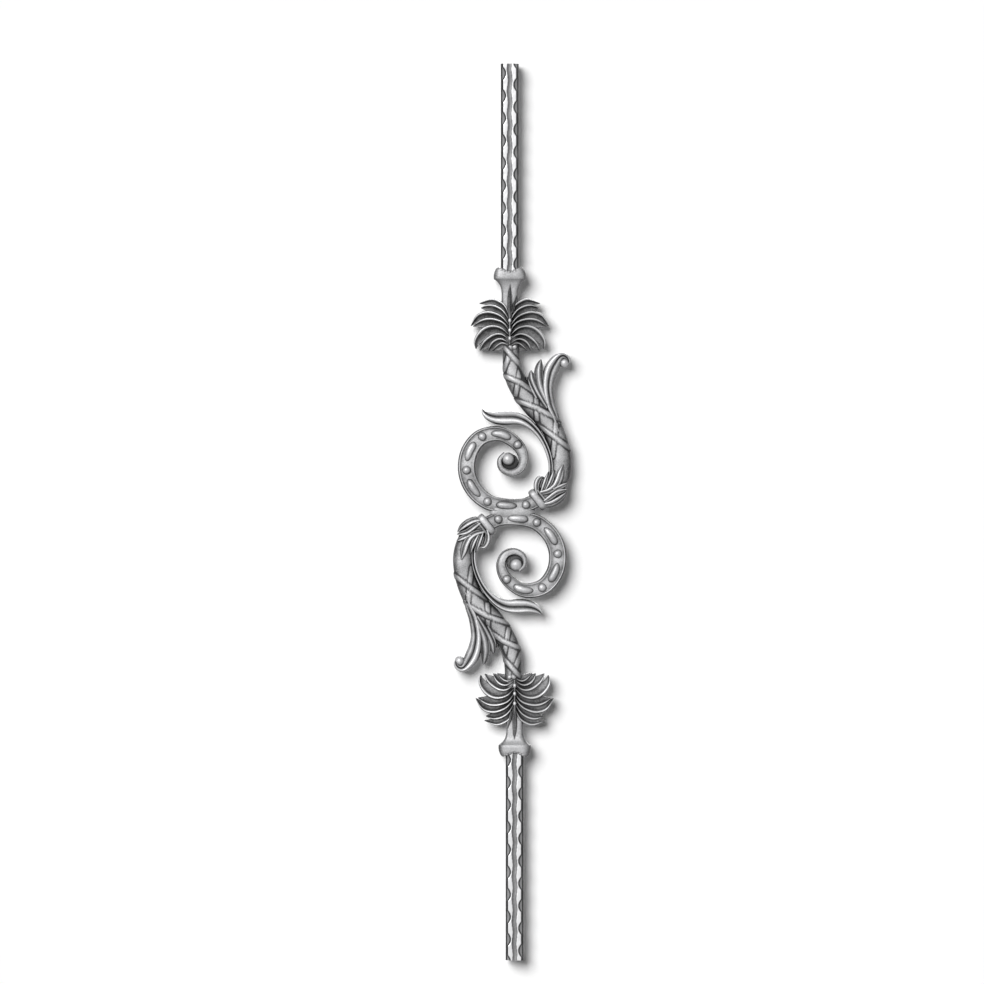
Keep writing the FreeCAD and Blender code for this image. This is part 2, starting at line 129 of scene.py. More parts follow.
def mesh_from(tree, source, **values):
    """The plain mesh that a tree makes of a source mesh, with its inputs set."""
    holder = bpy.data.objects.new(tree.name, source)
    bpy.context.scene.collection.objects.link(holder)
    modifier = holder.modifiers.new(tree.name, "NODES")
    modifier.node_group = tree
    for item in tree.interface.items_tree:
        if item.in_out == "INPUT" and item.name in values:
            modifier[item.identifier] = values[item.name]
    graph = bpy.context.evaluated_depsgraph_get()
    mesh = bpy.data.meshes.new_from_object(holder.evaluated_get(graph))
    bpy.data.objects.remove(holder)
    return mesh


def smoothed(mesh, angle):
    """Smooth shading, but for edges sharper than the angle in degrees."""
    mesh.shade_smooth()
    mesh.set_sharp_from_angle(angle=math.radians(angle))


def burnished_and_shaded_metal():
    """Dark in the hollows and rubbed bright on what stands proud, with light and shade painted from the
    mesh, painted shade multiplied in where the surface is sheltered, and a fine cast grain.
    """
    group = bpy.data.node_groups.new("burnished metal", "ShaderNodeTree")
    floats = ("Wear", "Shelter", "Grain Scale", "Grain Mottle", "Hollow Roughness", "Worn Roughness")
    for label in floats:
        group.interface.new_socket(label, in_out="INPUT", socket_type="NodeSocketFloat")
    for label in ("Hollow Colour", "Worn Colour"):
        group.interface.new_socket(label, in_out="INPUT", socket_type="NodeSocketColor")
    group.interface.new_socket("Colour", in_out="OUTPUT", socket_type="NodeSocketColor")
    group.interface.new_socket("Roughness", in_out="OUTPUT", socket_type="NodeSocketFloat")
    group.interface.new_socket("Grain", in_out="OUTPUT", socket_type="NodeSocketFloat")
    given = group.nodes.new("NodeGroupInput").outputs
    place = group.nodes.new("ShaderNodeTexCoord").outputs["Object"]
    grain = put(group, "ShaderNodeTexNoise", named={
        "Vector": place, "Scale": given["Grain Scale"], "Detail": 4.0, "Roughness": 0.6,
    }).outputs["Fac"]
    patch = put(group, "ShaderNodeTexNoise", named={
        "Vector": place, "Scale": 60.0, "Detail": 3.0,
    }).outputs["Fac"]
    both = maths(group, "SUBTRACT", maths(group, "ADD", grain, patch), 1)
    rubbed_and_lit = maths(group, "ADD", given["Wear"], maths(group, "MULTIPLY", both, given["Grain Mottle"]))
    rubbed_and_lit = put(group, "ShaderNodeClamp", rubbed_and_lit).outputs[0]
    bare = put(group, "ShaderNodeMix", data_type="RGBA")
    # A colour mix takes its factor at socket 0 and its colours at 6 and 7, and gives its result at 2
    for socket, value in ((0, rubbed_and_lit), (6, given["Hollow Colour"]), (7, given["Worn Colour"])):
        group.links.new(value, bare.inputs[socket])
    # Painted shade: the colour is darkened where the surface is sheltered, as though shade fell there
    painted_shade_colour = stretched(group, bare.outputs[2], given["Shelter"])
    spread = maths(group, "SUBTRACT", given["Worn Roughness"], given["Hollow Roughness"])
    rough = maths(group, "ADD", given["Hollow Roughness"], maths(group, "MULTIPLY", spread, rubbed_and_lit))
    put(group, "NodeGroupOutput", painted_shade_colour, rough, grain)
    return group


BURNISHED_AND_SHADED = burnished_and_shaded_metal()


def metal(name, hollow, worn_and_lit, grain_scale, grain_mottle, metallic, roughness, bump, painted_shade_reach):
    """A bare metal whose wear and painted light and shade follow the mesh, with painted shade from ambient
    occlusion darkening its colour where the surface is sheltered.
    """
    material = bpy.data.materials.new(name)
    material.use_nodes = True
    tree = material.node_tree
    shader = tree.nodes["Principled BSDF"]
    wear = put(tree, "ShaderNodeAttribute", attribute_name="wear").outputs["Fac"]
    # Painted shade: ambient occlusion of the mesh darkens the base colour in recesses and between parts
    open_sky = put(tree, "ShaderNodeAmbientOcclusion", samples=8, only_local=True,
                   named={"Distance": painted_shade_reach}).outputs["AO"]
    painted_shade = ramp(tree, open_sky, 0.25, 0.9, 0.15, 1.0)
    burnished_and_shaded = put(tree, "ShaderNodeGroup", node_tree=BURNISHED_AND_SHADED, named={
        "Wear": wear, "Shelter": painted_shade, "Grain Scale": grain_scale, "Grain Mottle": grain_mottle,
        "Hollow Roughness": roughness[0], "Worn Roughness": roughness[1],
        "Hollow Colour": (*hollow, 1), "Worn Colour": (*worn_and_lit, 1),
    })
    grain = put(tree, "ShaderNodeBump", named={
        "Strength": bump, "Distance": 0.0004, "Height": burnished_and_shaded.outputs["Grain"],
    }).outputs[0]
    shader.inputs["Metallic"].default_value = metallic
    tree.links.new(burnished_and_shaded.outputs["Colour"], shader.inputs["Base Color"])
    tree.links.new(burnished_and_shaded.outputs["Roughness"], shader.inputs["Roughness"])
    tree.links.new(grain, shader.inputs["Normal"])
    return material


def hammered_bar_tree():
    """A bar with fluted faces, scalloped from corner to corner."""
    points_around = 144
    points_along = 400
    shrink = 0.05
    tree, given = geometry_tree(
        "hammered bar", Length="Float", Width="Float", Chamfer="Float", Pitch="Float", First="Float",
        Scallop="Float", Depth="Float", Flute="Float", Hollow="Float", Waver="Float", Unevenness="Float",
        Steel="Material",
    )
    square = (given["Width"], given["Width"])
    outline = put(tree, "GeometryNodeCurvePrimitiveQuadrilateral", *square).outputs[0]
    outline = put(tree, "GeometryNodeResampleCurve", outline, named={"Count": points_around}).outputs[0]
    head = put(tree, "ShaderNodeCombineXYZ", 0, 0, given["Length"]).outputs[0]
    run = put(tree, "GeometryNodeCurvePrimitiveLine", named={"End": head}).outputs[0]
    run = put(tree, "GeometryNodeResampleCurve", run, named={"Count": points_along}).outputs[0]
    bar = put(tree, "GeometryNodeCurveToMesh", run, outline, named={"Fill Caps": True}).outputs[0]
    place = put(tree, "GeometryNodeInputPosition").outputs[0]
    x, y, z = put(tree, "ShaderNodeSeparateXYZ", place).outputs
    far_x = maths(tree, "ABSOLUTE", x)
    far_y = maths(tree, "ABSOLUTE", y)
    on_side = maths(tree, "GREATER_THAN", far_x, far_y)
    over_face = maths(tree, "MULTIPLY_ADD", maths(tree, "SUBTRACT", y, x), on_side, x)
    turns = maths(tree, "DIVIDE", 2 * math.pi, given["Pitch"])
    wave = maths(tree, "SINE", maths(tree, "MULTIPLY", z, turns))
    off_flute = maths(tree, "SUBTRACT", over_face, maths(tree, "MULTIPLY", wave, given["Waver"]))
    flute = mound(tree, off_flute, maths(tree, "DIVIDE", given["Flute"], 2))
    sunk = maths(tree, "MULTIPLY", flute, given["Hollow"])
    trailing = maths(tree, "GREATER_THAN", maths(tree, "MULTIPLY", x, y), 0)
    half_pitch = maths(tree, "DIVIDE", given["Pitch"], 2)
    start = maths(tree, "MULTIPLY_ADD", trailing, half_pitch, given["First"])
    phase = maths(tree, "ADD", maths(tree, "SUBTRACT", z, start), half_pitch)
    phase = maths(tree, "SUBTRACT", maths(tree, "FLOORED_MODULO", phase, given["Pitch"]), half_pitch)
    struck = mound(tree, phase, maths(tree, "DIVIDE", given["Scallop"], 2))
    root = math.sqrt(0.5)
    bite = maths(tree, "MAXIMUM", maths(tree, "MULTIPLY", struck, given["Depth"]),
                 maths(tree, "MULTIPLY", given["Chamfer"], root))
    limit = maths(tree, "SUBTRACT", maths(tree, "DIVIDE", given["Width"], 2 * root), bite)
    reach = maths(tree, "MULTIPLY", maths(tree, "ADD", far_x, far_y), root)
    excess = maths(tree, "MAXIMUM", maths(tree, "SUBTRACT", reach, limit), 0)
    cut = maths(tree, "MULTIPLY", excess, root)
    in_x = maths(tree, "ADD", cut, maths(tree, "MULTIPLY", sunk, on_side))
    in_y = maths(tree, "ADD", cut, maths(tree, "MULTIPLY", sunk, maths(tree, "SUBTRACT", 1, on_side)))
    noise = put(tree, "ShaderNodeTexNoise", named={
        "Vector": place, "Scale": 0.16, "Detail": 1.0,
    }).outputs["Fac"]
    swell = maths(tree, "MULTIPLY", maths(tree, "SUBTRACT", noise, 0.6), given["Unevenness"])
    new_x = maths(tree, "MULTIPLY", maths(tree, "SIGN", x), maths(tree, "SUBTRACT", far_x, in_x))
    new_y = maths(tree, "MULTIPLY", maths(tree, "SIGN", y), maths(tree, "SUBTRACT", far_y, in_y))
    grown = maths(tree, "MULTIPLY_ADD", maths(tree, "MINIMUM", swell, 0), shrink, 1)
    moved = put(tree, "ShaderNodeCombineXYZ", maths(tree, "MULTIPLY", new_x, grown),
                maths(tree, "MULTIPLY", new_y, grown), z).outputs[0]
    # Painted shade: a dark line round the edge of each scallop and a darker flute, as where these turn from
    # the light; the middle of the flute and the inside of each scallop are painted lighter
    scallop_edge_shade = ramp(tree, excess, 0.0, 0.2, 0.0, 1.0)
    rubbed_and_lit = ramp(tree, excess, 1.9, 3.0, 0.0, 0.42)
    flute_shade = ramp(tree, flute, 0.0, 0.15, 0.0, 0.9)
    flute_floor_light = ramp(tree, flute, 0.5, 0.8, 0.0, 0.12)
    worn_and_lit = maths(tree, "ADD", maths(tree, "SUBTRACT", 1, scallop_edge_shade), maths(tree, "SUBTRACT", rubbed_and_lit, flute_shade))
    worn_and_lit = maths(tree, "ADD", worn_and_lit, flute_floor_light)
    bar = with_wear_and_shading(tree, bar, worn_and_lit)
    bar = put(tree, "GeometryNodeSetPosition", bar, named={"Position": moved}).outputs[0]
    end_tree(tree, bar, given["Steel"])
    return tree


hammered_steel = metal(
    "hammered_steel", hollow=(0.012, 0.012, 0.013), worn_and_lit=(0.66, 0.66, 0.67), grain_scale=900,
    grain_mottle=0.25, metallic=0.45, roughness=(0.5, 0.3), bump=0.15, painted_shade_reach=0.006,
)
HEIGHT = cad_bounds[1][2]
BAR_OFFSET = 2.7
MILLIMETRES = Matrix.Scale(0.001, 4)
HALF_TURN = Matrix.Translation((0, 0, HEIGHT)) @ Matrix.Rotation(math.pi, 4, "Y")
FOOT = MILLIMETRES @ Matrix.Translation((BAR_OFFSET, 0, 0))
HAMMERED_BAR = hammered_bar_tree()
for name, place in (("lower_bar", FOOT), ("upper_bar", HALF_TURN @ FOOT)):
    mesh = mesh_from(
        HAMMERED_BAR, bpy.data.meshes.new(name), Length=238.0, Width=20.0, Chamfer=2.9, Pitch=25.0,
        First=11.0, Scallop=20.0, Depth=4.3, Flute=5.8, Hollow=0.6, Waver=0.6, Unevenness=0.6,
        Steel=hammered_steel,
    )
    mesh.transform(place)
    smoothed(mesh, angle=40)
    bar = bpy.data.objects.new(f"{name}_looks", mesh)
    bpy.context.scene.collection.objects.link(bar)
    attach(bar, "root")
    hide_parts(name)

# Collar and neck: part of the casting, grey iron. A square neck flares into a cup with a crisp lower
# edge, and the lip of the cup is dipped at front and back, so that the bar shows between two ears.

cast_iron = metal(
    "cast_iron", hollow=(0.025, 0.025, 0.026), worn_and_lit=(0.58, 0.58, 0.59), grain_scale=700,
    grain_mottle=0.75, metallic=0.35, roughness=(0.6, 0.38), bump=0.7, painted_shade_reach=0.008,
)
AXIS = -BAR_OFFSET
half = bmesh.new()
wear_and_shading_layer = half.verts.layers.float.new("wear")


def ring_of_square(level, half_width, half_depth, squareness, count=64):
    """Points round a square with soft corners, squarer as the number rises."""
    points = []
    for step in range(count):
        turn = 2 * math.pi * step / count
        across = math.copysign(abs(math.cos(turn)) ** (2 / squareness), math.cos(turn))
        through = math.copysign(abs(math.sin(turn)) ** (2 / squareness), math.sin(turn))
        points.append(Vector((AXIS + half_width * across, half_depth * through, level)))
    return points


# Rings from the neck up over the lip and down into the socket: level, half width, half depth, squareness
COLLAR = [
    (219.5, 0.9, 7.5, 6), (224, 3, 8.4, 6), (229.5, 5.6, 8.8, 6), (233.5, 9.1, 9, 6), (244, 9.1, 9, 6),
    (248.5, 9.5, 9, 6), (252, 10.5, 9.4, 6), (254.5, 11.8, 10, 6), (256.8, 13.7, 11, 5.5),
    (258.6, 15.8, 12.3, 5), (259.5, 17.1, 13.1, 5), (259.9, 17.7, 13.4, 5), (260.5, 17.9, 13.6, 5),
    (263, 18, 13.6, 4.5), (266, 17.7, 13.5, 4.5), (269, 16.7, 13.4, 4.5), (271.4, 15.4, 13, 4.5),
    (272.7, 13.9, 12.4, 5), (273, 12.6, 11.8, 6), (272.6, 11.4, 11, 9), (271.2, 10.3, 10.3, 24),
    (262.3, 10.3, 10.3, 24),
]
DIP_RADIUS = 15
DIP_LEVEL = 281.5
SIDE_SHADE = 0.1
FACE_WEAR_AND_LIGHT = 0.5
CORNER_SHADE = 0.85
loops = []
for level, half_width, half_depth, squareness in COLLAR:
    loop = []
    for point in ring_of_square(level, half_width, half_depth, squareness):
        off_middle = min(abs(point.x - AXIS), DIP_RADIUS)
        point.z = min(point.z, DIP_LEVEL - math.sqrt(DIP_RADIUS ** 2 - off_middle ** 2))
        vertex = half.verts.new(point)
        # Painted light and shade: the sides and corners of the collar are painted darker and its front and
        # back lighter, as light falls on them; the proud faces are also worn
        proud = min(1, abs(point.y) / half_depth * 1.05)
        aside = min(1, abs(point.x - AXIS) / half_width)
        vertex[wear_and_shading_layer] = SIDE_SHADE + FACE_WEAR_AND_LIGHT * proud ** 4 * (1 - CORNER_SHADE * aside ** 4)
        loop.append(vertex)
    loops.append(loop)
for lower, upper in zip(loops, loops[1:]):
    for step, vertex in enumerate(lower):
        after = (step + 1) % len(lower)
        half.faces.new((vertex, lower[after], upper[after], upper[step]))
half.faces.new(list(reversed(loops[0])))
half.faces.new(loops[-1])


def ball(x, z, radius, reach, wear, squash=1):
    """A ball of the casting at the front and one at the back, out to the reach, with painted shade
    darkening their feet.
    """
    foot_shade = 0.12
    brightening = 1.6
    pair = bmesh.new()
    layer = pair.verts.layers.float.new("wear")
    fineness = 8 + 2 * round(radius)
    for side in (-1, 1):
        place = Matrix.Translation((x, side * (reach - radius), z)) @ Matrix.Diagonal((1, 1, squash, 1))
        made = bmesh.ops.create_uvsphere(
            pair, u_segments=fineness, v_segments=fineness * 2 // 3, radius=radius, matrix=place,
        )
        for vertex in made["verts"]:
            proud = side * vertex.co.y - (reach - radius)
            # Painted shade: dark at the foot of the ball, lighter towards its crest
            vertex[layer] = wear * min(1, max(foot_shade, brightening * proud / radius))
    mesh = bpy.data.meshes.new("ball")
    pair.to_mesh(mesh)
    pair.free()
    half.from_mesh(mesh)


# Weld: a ripple of filler metal, as grey as the casting. It is run by hand along the dip of the collar,
# at front and back, and holds the bar in its socket.

WELD = [(-9.5, 2.4), (-6.8, 3), (-3.6, 2.3), (-0.8, 2.8), (2.6, 2.4), (5.6, 3.1), (8.8, 2.5)]
WELD_REACH = 12.9
WELD_WEAR = 0.62
for aside, radius in WELD:
    lip = DIP_LEVEL - math.sqrt(DIP_RADIUS ** 2 - aside ** 2)
    ball(AXIS + aside, lip, radius, WELD_REACH, WELD_WEAR)

# Trunk: a flat stem of the casting that leaves the neck, swings to the right and turns in under the
# scroll. Two families of narrow straps cross round it; they are cast in one with it.


def polylines(name, lines, fields, closed=False):
    """Lines held as a mesh; each point is a place and then one value for each named field."""
    places = []
    edges = []
    values = {field: [] for field in fields}
    for line in lines:
        first = len(places)
        for place, *extras in line:
            places.append(place)
            for field, value in zip(fields, extras):
                values[field].append(value)
        edges += [(index, index + 1) for index in range(first, len(places) - 1)]
        if closed:
            edges.append((len(places) - 1, first))
    mesh = bpy.data.meshes.new(name)
    mesh.from_pydata(places, edges, [])
    for field in fields:
        mesh.attributes.new(field, "FLOAT", "POINT").data.foreach_set("value", values[field])
    return mesh


def guide(mesh):
    """An object that carries a mesh into a tree."""
    holder = bpy.data.objects.new(mesh.name, mesh)
    bpy.context.scene.collection.objects.link(holder)
    return holder


def section(name, front, mirrored=False):
    """A closed section from (across, out, wear with painted light and shade) over the front; the back is
    its mirror image.
    """
    sign = -1 if mirrored else 1
    loop = front + [(across, -out, wear) for across, out, wear in reversed(front)]
    points = [((sign * across, out, 0), sign * across, out, wear) for across, out, wear in loop]
    return guide(polylines(name, [points], ("across", "out", "wear"), closed=True))


def swept_limb_tree():
    """A limb along each line of points that carry a width and a depth, with a section stretched to them."""
    tree, given = geometry_tree("swept limb", Section="Object", Slices="Int", Iron="Material")
    course = put(tree, "GeometryNodeMeshToCurve", given["Geometry"]).outputs[0]
    course = put(tree, "GeometryNodeCurveSplineType", course, spline_type="CATMULL_ROM").outputs[0]
    course = put(tree, "GeometryNodeResampleCurve", course, named={"Count": given["Slices"]}).outputs[0]
    place = put(tree, "GeometryNodeInputPosition").outputs[0]
    heading = put(tree, "GeometryNodeInputTangent").outputs[0]
    side = put(tree, "ShaderNodeVectorMath", (0, 1, 0), heading, operation="CROSS_PRODUCT").outputs[0]
    for name, value in (("centre", place), ("side", side)):
        course = put(tree, "GeometryNodeStoreNamedAttribute", course, data_type="FLOAT_VECTOR",
                     named={"Name": name, "Value": value}).outputs[0]
    shape = put(tree, "GeometryNodeObjectInfo", given["Section"]).outputs["Geometry"]
    shape = put(tree, "GeometryNodeMeshToCurve", shape).outputs[0]
    limb = put(tree, "GeometryNodeCurveToMesh", course, shape, named={"Fill Caps": True}).outputs[0]

    def read(name, kind="FLOAT"):
        return put(tree, "GeometryNodeInputNamedAttribute", name, data_type=kind).outputs[0]

    across = maths(tree, "MULTIPLY", read("across"), maths(tree, "DIVIDE", read("width"), 2))
    out = maths(tree, "MULTIPLY", read("out"), maths(tree, "DIVIDE", read("depth"), -2))
    aside = stretched(tree, read("side", "FLOAT_VECTOR"), across)
    forward = put(tree, "ShaderNodeCombineXYZ", 0, out, 0).outputs[0]
    moved = summed(tree, read("centre", "FLOAT_VECTOR"), aside, forward)
    limb = put(tree, "GeometryNodeSetPosition", limb, named={"Position": moved}).outputs[0]
    # Painted light and shade: the stored mark is the section's wear and painted shading times the line's
    # polish and painted shade
    worn_and_lit = maths(tree, "MULTIPLY", read("wear"), read("polish"))
    end_tree(tree, with_wear_and_shading(tree, limb, worn_and_lit), given["Iron"])
    return tree


SWEPT_LIMB = swept_limb_tree()


def swept(name, lines, shape, slices):
    """Limbs along lines of (x, z, width, depth), or with a polish and painted shade at the end of each."""
    paths = []
    for line in lines:
        paths.append([((x, 0, z), width, depth, *(polish or [1])) for x, z, width, depth, *polish in line])
    source = polylines(name, paths, ("width", "depth", "polish"))
    return mesh_from(SWEPT_LIMB, source, Section=shape, Slices=slices, Iron=cast_iron)


def even_depth(line, depth):
    """A line of (x, z, width) with the same depth all along."""
    return [(x, z, width, depth) for x, z, width in line]


def strapped_tree():
    """Raises straps from a stem along courses drawn on its front, one family over the other."""
    foot, shoulder = 1.25, 0.8
    crown = 0.3
    groove_shade_reach = 0.5
    clear_from, clear_to = 1.35, 1.75
    under_height = 0.6
    strap_polish, groove_shade_strength = 0.2, -0.55
    tree, given = geometry_tree("strapped stem", Over="Object", Under="Object", Width="Float", Rise="Float",
                                Iron="Material")
    place = put(tree, "GeometryNodeInputPosition").outputs[0]
    x, y, z = put(tree, "ShaderNodeSeparateXYZ", place).outputs
    flat = put(tree, "ShaderNodeCombineXYZ", x, 0, z).outputs[0]

    def strap(family):
        """How far off a family's straps lie, in half widths, with their height and the painted shade line
        along their feet.
        """
        courses = put(tree, "GeometryNodeObjectInfo", family).outputs["Geometry"]
        away = put(tree, "GeometryNodeProximity", courses, target_element="EDGES",
                   named={"Sample Position": flat}).outputs["Distance"]
        share = maths(tree, "DIVIDE", away, maths(tree, "DIVIDE", given["Width"], 2))
        body = ramp(tree, share, foot, shoulder, 0.0, 1.0, interpolation_type="SMOOTHSTEP")
        crowned = maths(tree, "MULTIPLY_ADD", mound(tree, share, 1), crown, 1 - crown)
        groove_shade_line = mound(tree, maths(tree, "SUBTRACT", share, foot), groove_shade_reach)
        return share, maths(tree, "MULTIPLY", crowned, body), groove_shade_line

    share, height, groove_shade_line = strap(given["Over"])
    _, lower_height, lower_groove_shade_line = strap(given["Under"])
    clear = ramp(tree, share, clear_from, clear_to, 0.0, 1.0)
    lower_height = maths(tree, "MULTIPLY", lower_height, clear)
    height = maths(tree, "MULTIPLY_ADD", lower_height, under_height, height)
    groove_shade_line = maths(tree, "MULTIPLY_ADD", lower_groove_shade_line, clear, groove_shade_line)
    raised = stretched(tree, put(tree, "GeometryNodeInputNormal").outputs[0],
                       maths(tree, "MULTIPLY", height, given["Rise"]))
    bare = put(tree, "GeometryNodeInputNamedAttribute", "wear").outputs[0]
    worn_and_lit = maths(tree, "MULTIPLY_ADD", height, strap_polish, bare)
    # Painted shade: a dark line along the feet of the straps, where no groove is cut
    worn_and_lit = maths(tree, "MULTIPLY_ADD", groove_shade_line, groove_shade_strength, worn_and_lit)
    stem = with_wear_and_shading(tree, given["Geometry"], worn_and_lit)
    stem = put(tree, "GeometryNodeSetPosition", stem, named={"Offset": raised}).outputs[0]
    end_tree(tree, stem, given["Iron"])
    return tree


# Stations from the neck to the binding: across, level, width
TRUNK = [
    (-1.5, 196, 17.5), (-1, 187, 18.3), (-1, 172, 19.3), (1, 155, 20.7), (8.5, 139, 22.7), (22, 120, 23.5),
    (40, 101, 23.5), (50, 80, 23), (54.2, 60, 23), (53.7, 45, 23), (48.5, 30, 22.5), (39, 20, 21),
    (28.5, 14, 19),
]
TRUNK_DEPTH = 20
OVER_STRAPS = [
    [(-12, 187), (-2, 176), (9, 164), (15, 151)], [(-12, 153), (10, 144), (30, 130)],
    [(2, 125), (28, 116), (54, 102)], [(28, 97), (47, 84), (68, 68)],
]
UNDER_STRAPS = [
    [(-2, 184), (-5, 170), (-10, 157)], [(9, 160), (6, 142), (2, 120)], [(27, 137), (27, 115), (28, 94)],
    [(49.5, 108), (48, 86), (45, 62)],
]


def rounded(steps, squareness, edge_shade, crest_wear_and_light, fade):
    """Front of a round section, squarer as the number rises, with its wear and painted light fading from
    the crest into painted shade at the edges.
    """
    front = []
    for step in range(steps):
        turn = math.pi * (1 - (step + 0.5) / steps)
        across = math.copysign(abs(math.cos(turn)) ** (2 / squareness), math.cos(turn))
        out = math.sin(turn) ** (2 / squareness)
        front.append((across, out, edge_shade + (crest_wear_and_light - edge_shade) * out ** fade))
    return front


stem_section = section("stem section", rounded(34, 2.6, edge_shade=0.08, crest_wear_and_light=0.58, fade=6))
stem = swept("trunk", [even_depth(TRUNK, TRUNK_DEPTH)], stem_section, slices=196)


def courses(name, lines):
    """An object that holds bare lines of (x, z)."""
    return guide(polylines(name, [[((x, 0, z),) for x, z in line] for line in lines], ()))


half.from_mesh(mesh_from(
    strapped_tree(), stem, Over=courses("over straps", OVER_STRAPS),
    Under=courses("under straps", UNDER_STRAPS), Width=5.0, Rise=1.1, Iron=cast_iron,
))

# Scroll band: a flat band of the casting between two thin rims, which leaves the binding, rounds the
# ring and winds in to a ball. Beads and drops stand in turn along its floor.

BAND = [
    (30, 15, 17), (15, 8, 16), (-5, 7.2, 16), (-26, 11, 18), (-42.5, 25, 19.3), (-50.5, 44.5, 19.6),
    (-48, 66.5, 19.3), (-34.5, 83.5, 18), (-13, 87, 16.5), (5.5, 75.5, 14), (12.5, 60.5, 11), (8.5, 48, 9),
    (-2.5, 43.7, 8), (-12.3, 49, 6.5), (-14, 58.5, 5), (-8, 65.5, 4),
]
BAND_DEPTH = 18


def both_sides(left):
    """A symmetrical section from its left half."""
    return left + [(-across, out, wear) for across, out, wear in reversed(left) if across < 0]


# Painted light and shade in each point's last figure: the band's edges and bevels are painted dark, and its
# rims and the middle of its floor lighter, as light falls on them
BAND_OUTLINE = [
    (-1, 0.15, 0.02), (-1, 0.5, 0.02), (-0.95, 0.76, 0.02), (-0.89, 0.9, 0.03), (-0.85, 0.97, 0.35),
    (-0.81, 1, 0.92), (-0.76, 0.985, 0.82), (-0.72, 0.93, 0.35), (-0.68, 0.89, 0.22), (-0.61, 0.875, 0.28),
    (-0.43, 0.885, 0.45), (-0.2, 0.905, 0.62), (0, 0.91, 0.68), (0.3, 0.905, 0.6), (0.55, 0.9, 0.42),
    (0.66, 0.915, 0.34), (0.74, 0.96, 0.5), (0.8, 0.975, 0.62), (0.86, 0.93, 0.3), (0.9, 0.86, 0.06),
    (0.95, 0.7, 0.02), (1, 0.5, 0.02), (1, 0.15, 0.02),
]
band_section = section("band section", BAND_OUTLINE)
half.from_mesh(swept("scroll band", [even_depth(BAND, BAND_DEPTH)], band_section, slices=110))


def ornament_row_tree():
    """Beads and drops in turn along a straight line, bent on to a course and repeated on the back."""
    ball_segments, ball_rings = 16, 10
    course_points = 300
    middle, taper = 0.9, 0.14
    bluntness = 0.65
    tree, given = geometry_tree(
        "ornament row", First="Float", Pitch="Float", Beads="Int", Bead="Float", Rise="Float", Drop="Float",
        Breadth="Float", Level="Float", Iron="Material",
    )
    course = put(tree, "GeometryNodeMeshToCurve", given["Geometry"]).outputs[0]
    course = put(tree, "GeometryNodeCurveSplineType", course, spline_type="CATMULL_ROM").outputs[0]
    course = put(tree, "GeometryNodeResampleCurve", course, named={"Count": course_points}).outputs[0]
    place = put(tree, "GeometryNodeInputPosition").outputs[0]
    x, y, z = put(tree, "ShaderNodeSeparateXYZ", place).outputs
    ball = put(tree, "GeometryNodeMeshUVSphere", ball_segments, ball_rings, 1.0).outputs[0]
    # Painted shade: each bead and drop is dark at its foot and lighter towards its crest
    ball = with_wear_and_shading(tree, ball, ramp(tree, maths(tree, "ABSOLUTE", y), 0.2, 0.8, 0.05, 0.76))
    round_size = put(tree, "ShaderNodeCombineXYZ", given["Bead"], given["Rise"], given["Bead"]).outputs[0]
    bead = put(tree, "GeometryNodeTransform", ball, named={"Scale": round_size}).outputs[0]
    slim = maths(tree, "MULTIPLY_ADD", x, taper, middle)
    reach = maths(tree, "POWER", maths(tree, "ABSOLUTE", x), bluntness)
    blunt = maths(tree, "MULTIPLY", maths(tree, "SIGN", x), reach)
    tapered = put(tree, "ShaderNodeCombineXYZ", blunt, maths(tree, "MULTIPLY", y, slim),
                  maths(tree, "MULTIPLY", z, slim)).outputs[0]
    drop = put(tree, "GeometryNodeSetPosition", ball, named={"Position": tapered}).outputs[0]
    long_size = put(tree, "ShaderNodeCombineXYZ", given["Drop"], given["Rise"], given["Breadth"]).outputs[0]
    drop = put(tree, "GeometryNodeTransform", drop, named={"Scale": long_size}).outputs[0]
    step = put(tree, "ShaderNodeCombineXYZ", given["Pitch"], 0, 0).outputs[0]
    between = maths(tree, "MULTIPLY_ADD", given["Pitch"], 0.5, given["First"])
    row = put(tree, "GeometryNodeJoinGeometry")
    fewer = maths(tree, "SUBTRACT", given["Beads"], 1)
    for shape, start, count in ((bead, given["First"], given["Beads"]), (drop, between, fewer)):
        start = put(tree, "ShaderNodeCombineXYZ", start, 0, 0).outputs[0]
        points = put(tree, "GeometryNodeMeshLine", named={
            "Count": count, "Start Location": start, "Offset": step,
        }).outputs[0]
        placed = put(tree, "GeometryNodeInstanceOnPoints", points, named={"Instance": shape}).outputs[0]
        tree.links.new(placed, row.inputs[0])
    row = put(tree, "GeometryNodeRealizeInstances", row.outputs[0]).outputs[0]
    bend = put(tree, "GeometryNodeSampleCurve", course, mode="LENGTH", named={"Length": x})
    heading = bend.outputs["Tangent"]
    side = put(tree, "ShaderNodeVectorMath", (0, 1, 0), heading, operation="CROSS_PRODUCT").outputs[0]
    forward = put(tree, "ShaderNodeCombineXYZ", 0, maths(tree, "SUBTRACT", y, given["Level"]), 0).outputs[0]
    bent = summed(tree, bend.outputs["Position"], stretched(tree, side, z), forward)
    row = put(tree, "GeometryNodeSetPosition", row, named={"Position": bent}).outputs[0]
    back = put(tree, "GeometryNodeTransform", row, named={"Scale": (1, -1, 1)}).outputs[0]
    pair = put(tree, "GeometryNodeJoinGeometry")
    tree.links.new(row, pair.inputs[0])
    tree.links.new(back, pair.inputs[0])
    end_tree(tree, pair.outputs[0], given["Iron"])
    return tree


band_course = polylines("band course", [[((x, 0, z),) for x, z, _ in BAND]], ())
half.from_mesh(mesh_from(
    ornament_row_tree(), band_course, First=16.2, Pitch=43.6, Beads=5, Bead=4.8, Rise=4.8, Drop=11.8,
    Breadth=4.7, Level=BAND_DEPTH * 0.445, Iron=cast_iron,
))

